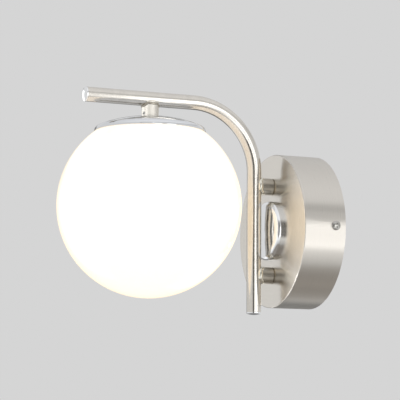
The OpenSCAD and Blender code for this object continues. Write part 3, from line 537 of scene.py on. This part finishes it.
def dress_nodes():
    """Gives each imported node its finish."""
    finishes = [
        (turned_nickel("canopy_nickel", canopy_face_y), ["canopy"]),
        # The posts take a darker copy of the nickel, painted shade
        (plain_metal("post_nickel_shaded", POST_SHADED_TINT, 0.32), ["upper_standoff", "lower_standoff"]),
        # The stem takes a lighter copy of the nickel, painted light
        (plain_metal("stem_nickel_lit", STEM_LIT_TINT, 0.42), ["stem"]),
        (polished("polished_nickel", CHROME_TINT), ["canopy_dome", "front_end_cap", "bottom_end_cap"]),
        (polished("cap_chrome", CAP_TINT), ["fitter_cap"]),
        # The side screws take a darker nickel, painted shade for their cross recesses
        (plain_metal("screw_nickel_shaded", (0.50, 0.49, 0.46), 0.24), ["side_screws"]),
        (opal_glass(), ["globe_glass"]),
        # The grub screw is tinted pale, painted light that lifts the shade of its hole
        (plain_metal("grub_steel_painted_light", (0.86, 0.85, 0.82), 0.5), ["stem_grub_screw"]),
        (zinc, ["wall_bracket", "dome_washer", "dome_nut", "arm_nuts", "arm_lock_washers", "cap_nut",
                "terminal_screws", "terminal_fixing_screw"]),
        (plain_metal("spring_steel", (0.52, 0.53, 0.55), 0.22), ["spring_spider"]),
        (brass, ["earth_screw", "earth_cup_washer", "earth_tags", "terminal_barrels", "centre_contact",
                 "holder_terminals"]),
        (moulded("white_plastic", (0.85, 0.85, 0.82)), ["terminal_block", "wire_bush", "holder_cap",
                                                        "holder_skirt"]),
        (moulded("glazed_ceramic", (0.86, 0.85, 0.80), 0.18), ["holder_insert"]),
        (moulded("silicone", (0.84, 0.84, 0.81), 0.55), ["globe_gasket"]),
        (lamp_metal, ["lamp_tip"]),
        (moulded("lamp_black_glass", (0.02, 0.02, 0.03), 0.12), ["lamp_insulator"]),
        (moulded("lamp_plastic", (0.88, 0.88, 0.85), 0.42), ["lamp_collar"]),
        (moulded("board_white", (0.86, 0.87, 0.85), 0.38), ["led_board"]),
        (moulded("led_phosphor", (0.88, 0.70, 0.16), 0.45), ["led_chips"]),
        (lamp_opal(), ["lamp_ball"]),
    ]
    for finish, parts in finishes:
        for part in parts:
            mesh = nodes[part].data
            mesh.materials.clear()
            mesh.materials.append(finish)


def skin(name, parts, made, body, crease=CREASE, stands_for=None):
    """Closed meshes as one piece that rides on a body, smooth but for edges sharper than the crease."""
    shape = bmesh.new()
    for points, faces in parts:
        corners = [shape.verts.new(point) for point in points]
        for face in faces:
            shape.faces.new([corners[i] for i in face])
    bmesh.ops.recalc_face_normals(shape, faces=shape.faces)
    mesh = bpy.data.meshes.new(name)
    shape.to_mesh(mesh)
    shape.free()
    mesh.shade_smooth()
    mesh.set_sharp_from_angle(angle=math.radians(crease))
    mesh.materials.append(made)
    piece = add_object(name, mesh)
    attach(piece, body)
    if stands_for:
        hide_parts(stands_for)
    return piece


def ring_faces(rings, sides, closed=False):
    """Quads between rings of points; open ends are filled flat."""
    faces = []
    for i in range(rings if closed else rings - 1):
        here = i * sides
        there = (i + 1) % rings * sides
        for k in range(sides):
            after = (k + 1) % sides
            faces.append((here + k, here + after, there + after, there + k))
    if not closed:
        faces += [tuple(range(sides)), tuple(range((rings - 1) * sides, rings * sides))]
    return faces


def rounded_route(corners, radii, steps):
    """Route through given corners, each inner one rounded to its own radius."""
    corners = [Vector(c) for c in corners]
    points = [corners[0]]
    for a, b, c, radius, count in zip(corners, corners[1:], corners[2:], radii, steps):
        u, v = (a - b).normalized(), (c - b).normalized()
        angle = u.angle(v)
        turn = math.pi - angle
        centre = b + (u + v).normalized() * radius / math.sin(angle / 2)
        start = b + u * radius / math.tan(angle / 2) - centre
        end = b + v * radius / math.tan(angle / 2) - centre
        for i in range(count + 1):
            t = i / count
            arm = start * math.sin((1 - t) * turn) + end * math.sin(t * turn)
            points.append(centre + arm / math.sin(turn))
    return points + [corners[-1]]


def stations(points, side, closed=False):
    """Point, side and lift along a route, carried without twist."""
    found = []
    count = len(points)
    for i, point in enumerate(points):
        after = points[(i + 1) % count] if closed else points[min(i + 1, count - 1)]
        before = points[i - 1] if closed else points[max(i - 1, 0)]
        heading = (after - before).normalized()
        side = (side - heading * side.dot(heading)).normalized()
        found.append((point, side, heading.cross(side)))
    return found


def ring(station, radius, sides):
    """Points of one ring round a station."""
    point, side, lift = station
    turns = [math.tau * k / sides for k in range(sides)]
    return [point + radius * (math.cos(t) * side + math.sin(t) * lift) for t in turns]


def smooth_arm():
    """The arm as one smooth hollow tube with eased ends."""
    foot = Vector((0, tube_y, arm_low.z))
    corner = Vector((0, tube_y, arm_z))
    tip = Vector((0, arm_low.y, arm_z))
    frames = stations(rounded_route([foot, corner, tip], [BEND_R], [ARM_BEND_STEPS]), RIGHT)

    def lip(station, inward):
        """Rings from an end's inner edge out to the full tube."""
        point, side, lift = station
        turns = [math.pi / 2 * step / LIP_STEPS for step in range(LIP_STEPS + 1)]
        return [((point + inward * TUBE_LIP * (1 - math.cos(t)), side, lift),
                 tube_r - TUBE_LIP * (1 - math.sin(t))) for t in turns]

    outside = lip(frames[0], UP) + [(frame, tube_r) for frame in frames[1:-1]]
    outside += lip(frames[-1], INTO_WALL)[::-1]
    inside = [(frame, tube_r - TUBE_WALL) for frame in frames[::-1]]
    rings = outside + inside
    points = [p for frame, radius in rings for p in ring(frame, radius, TUBE_SIDES)]
    skin("arm_tube_smooth", [(points, ring_faces(len(rings), TUBE_SIDES, closed=True))],
         plain_metal("tube_nickel", NICKEL_TINT, 0.20), "base",
         crease=TUBE_CREASE, stands_for="arm_tube")


def closed_bead(name, line, side, radius, made):
    """Round bead along a closed line on the fixed parts."""
    frames = stations(line, side, closed=True)
    points = [p for frame in frames for p in ring(frame, radius, BEAD_SIDES)]
    skin(name, [(points, ring_faces(len(frames), BEAD_SIDES, closed=True))], made, "base")


def saddle(name, centre, along, toward, radius, bead, made):
    """Braze bead where a post meets the arm: along points along the arm there, toward to the post."""
    bead_r, sunk, shift, dip = bead
    across = along.cross(toward)
    lip = math.sqrt(tube_r ** 2 - COPE_GAP ** 2)
    line = []
    for k in range(BEAD_STEPS):
        turn = math.tau * k / BEAD_STEPS
        beside = radius * math.sin(turn)
        on_tube = max(-lip, min(lip, beside))
        middle = centre + toward * math.sqrt(tube_r ** 2 - on_tube ** 2)
        outward = across * beside + along * radius * math.cos(turn)
        down = shift + dip * abs(math.sin(turn))
        line.append(middle + outward + toward * down - outward.normalized() * sunk)
    closed_bead(name, line, toward, bead_r, made)


def braze_beads():
    """Beads where the posts and the stem meet the arm, the stem's one darkened as painted shade, and a dark
    ring of painted shade at the stem's foot.
    """
    post_braze = plain_metal("braze", BRAZE_TINT, 0.16)
    for name, z in (("upper_post_braze", post_z), ("lower_post_braze", -post_z)):
        saddle(name, Vector((0, tube_y, z)), UP, INTO_WALL, post_r, POST_BEAD, post_braze)
    # The stem's bead is darker than the posts' braze: painted shade along the joint
    stem_braze_and_shade = plain_metal("stem_braze_and_shade", STEM_BRAZE_SHADE_TINT, 0.25)
    saddle("stem_braze_and_shade", Vector((0, globe_y, arm_z)), INTO_WALL, DOWN, stem_r, STEM_BEAD, stem_braze_and_shade)
    foot_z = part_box("fitter_cap")[1].z
    turns = [math.tau * k / BEAD_STEPS for k in range(BEAD_STEPS)]
    foot = [Vector((stem_r * math.cos(t), globe_y + stem_r * math.sin(t), foot_z)) for t in turns]
    # A dark ring round the stem's foot, painted shade where the stem meets the cap
    foot_shade = plain_metal("stem_foot_painted_shade", STEM_FOOT_SHADE_TINT, 0.35)
    closed_bead("stem_foot_shade_ring", foot, UP, STEM_FOOT_R, foot_shade)


def smooth_lead(name, corners, radii, made):
    """One insulated lead, round and smooth."""
    frames = stations(rounded_route(corners, radii, [LEAD_STEPS] * len(radii)), LEAD_SIDE)
    points = [p for frame in frames for p in ring(frame, LEAD_R, LEAD_SIDES)]
    return skin(name + "_smooth", [(points, ring_faces(len(frames), LEAD_SIDES))], made, "base",
                stands_for=name)


def mains_lead(name, side, colour, slot):
    """Live or neutral lead from its barrel in the canopy, through the arm, to the lamp holder."""
    x = side * (LEAD_R + LEAD_GAP)
    barrels_low, barrels_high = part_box("terminal_barrels")
    barrel_x = (barrels_low.x + barrels_high.x) / 2 + side * BARREL_PITCH / 2
    barrel_y = (barrels_low.y + barrels_high.y) / 2
    terminals_low, terminals_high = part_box("holder_terminals")
    terminal_x = side * HOLDER_TERMINAL_X
    terminal_z = (terminals_low.z + terminals_high.z) / 2
    fan_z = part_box("cap_nipple")[0].z - LEAD_FAN_TOP
    corners = [(barrel_x, barrel_y, LEAD_ENTRY_Z), (barrel_x, barrel_y, LEAD_OUT_Z),
               (x, LEAD_GATHER_Y, post_z), (x, tube_y, post_z), (x, tube_y, arm_z),
               (x, globe_y, arm_z), (x, globe_y, fan_z),
               (terminal_x, globe_y, fan_z - LEAD_FAN_DROP), (terminal_x, globe_y, terminal_z)]
    radii = [LEAD_BEND_R] * 3 + [BEND_R, LEAD_BEND_R, LEAD_TIGHT_R, LEAD_TIGHT_R]
    smooth_lead(name, corners, radii, moulded(slot, colour, 0.40))


def tag_point(tag, z, reach):
    """Point on the axis of an earth tag's barrel, at a reach from its screw."""
    x, y, turn = tag
    angle = math.radians(turn)
    return (x - reach * math.sin(angle), y, z + reach * math.cos(angle))


def earth_lead():
    """Green lead with a yellow stripe, between the two earth tags."""
    corners = [tag_point(STRAP_TAG, 0, STRAP_TAG_REACH),
               tag_point(STRAP_TAG, 0, STRAP_TAG_REACH + TAG_LEAD_RUN),
               tag_point(ARM_TAG, -post_z, ARM_TAG_REACH + TAG_LEAD_RUN),
               tag_point(ARM_TAG, -post_z, ARM_TAG_REACH)]
    green = moulded("earth_green", (0.05, 0.36, 0.07), 0.40)
    lead = smooth_lead("earth_lead", corners, [LEAD_BEND_R] * 2, green)
    lead.data.materials.append(moulded("earth_yellow", (0.86, 0.70, 0.05), 0.40))
    for face in lead.data.polygons:
        face.material_index = int(face.index % LEAD_SIDES < LEAD_SIDES * EARTH_YELLOW_SHARE)


def thread_swell(phase, blunt):
    """Height of a thread's flank, 0 at the root and 1 at the crest."""
    if blunt:
        return 0.5 - 0.5 * math.cos(math.tau * phase)
    return min(1.0, max(0.0, FLANK_STEEPNESS * (1 - abs(2 * phase - 1)) - ROOT_SHARE))


def thread_levels(rows, pitch):
    """Rows of a thread with more rows between those that it turns through."""
    levels = []
    for (low, root_a, depth_a), (high, root_b, depth_b) in zip(rows, rows[1:]):
        steps = max(1, round((high - low) / pitch * THREAD_ROWS)) if depth_a or depth_b else 1
        for i in range(steps):
            t = i / steps
            root = root_a + (root_b - root_a) * t
            depth = depth_a + (depth_b - depth_a) * t
            levels.append((low + (high - low) * t, root, depth))
    return levels + [rows[-1]]


def threaded(origin, heading, rows, pitch, sides, bore=None, sheet=None, blunt=False):
    """Points and faces of a right-hand thread on a rod, on a pipe with a bore or in pressed sheet.

    Each row holds a height, the root's radius and the thread's depth there."""
    lift = heading.cross(RIGHT)
    rings = []
    for height, root, depth in thread_levels(rows, pitch):
        place = origin + heading * height
        row = []
        for k in range(sides):
            turn = math.tau * k / sides
            phase = (place.dot(heading) / pitch - k / sides) % 1
            out = math.cos(turn) * RIGHT + math.sin(turn) * lift
            row.append((place, root + depth * thread_swell(phase, blunt), out))
        rings.append(row)
    points = [place + radius * out for row in rings for place, radius, out in row]
    hollow = bore is not None or sheet is not None
    if hollow:
        points += [place + (bore if sheet is None else radius - sheet) * out
                   for row in rings[::-1] for place, radius, out in row]
    return points, ring_faces(len(points) // sides, sides, closed=hollow)


def metric_rows(length, radius, depth):
    """Rows of a metric thread whose ends run out to the root."""
    root = radius - depth
    return [(0, root, 0), (depth, root, depth), (length - depth, root, depth), (length, root, 0)]


def threaded_pipes(node, origins, heading, length):
    """Nipples with their threads, in place of a node's plain ones."""
    rows = metric_rows(length, NIPPLE_R, NIPPLE_THREAD)
    pipes = [threaded(origin, heading, rows, NIPPLE_PITCH, NIPPLE_SIDES, bore=NIPPLE_BORE_R)
             for origin in origins]
    skin(node + "_threaded", pipes, zinc, "base", crease=THREAD_CREASE, stands_for=node)


def pressed_shell(node, rows, sheet, made, body):
    """Pressed shell of the lamp or its holder, with the rounded thread that both share."""
    foot = Vector((0, globe_y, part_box(node)[0].z))
    rows = [tuple(v * MM for v in row) for row in rows]
    shell = threaded(foot, UP, rows, LAMP_PITCH, SHELL_SIDES, sheet=sheet, blunt=True)
    skin(node + "_threaded", [shell], made, body, crease=TUBE_CREASE, stands_for=node)


def add_threads():
    """Nipples, dome stud and shells, each with its thread."""
    low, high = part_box("arm_nipples")
    threaded_pipes("arm_nipples", [Vector((0, high.y, z)) for z in (post_z, -post_z)], OUT_OF_WALL,
                   high.y - low.y)
    low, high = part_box("cap_nipple")
    threaded_pipes("cap_nipple", [Vector((0, globe_y, low.z))], UP, high.z - low.z)
    low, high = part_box("dome_stud")
    rows = metric_rows(high.y - low.y, high.x, STUD_THREAD)
    stud = threaded(Vector((0, high.y, 0)), OUT_OF_WALL, rows, STUD_PITCH, STUD_SIDES)
    skin("dome_stud_threaded", [stud], zinc, "base", crease=THREAD_CREASE,
         stands_for="dome_stud")
    pressed_shell("lamp_shell", LAMP_SHELL_ROWS, LAMP_SHEET, lamp_metal, "lamp")
    pressed_shell("holder_shell", HOLDER_SHELL_ROWS, HOLDER_SHEET, brass, "base")


add_camera()
add_world()
add_floor()
for softbox in SOFTBOXES:
    add_softbox(*softbox)

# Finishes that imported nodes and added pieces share
zinc = plain_metal("zinc_steel", (0.62, 0.63, 0.65), 0.33)
brass = plain_metal("brass", (0.80, 0.62, 0.30), 0.28)
lamp_metal = plain_metal("lamp_cap_metal", (0.76, 0.75, 0.72), 0.24)

dress_nodes()
smooth_arm()
braze_beads()
mains_lead("live_lead", 1, (0.20, 0.075, 0.025), "live_insulation")
mains_lead("neutral_lead", -1, (0.03, 0.12, 0.50), "neutral_insulation")
earth_lead()
add_threads()

bpy.context.scene.view_settings.view_transform = "Standard"
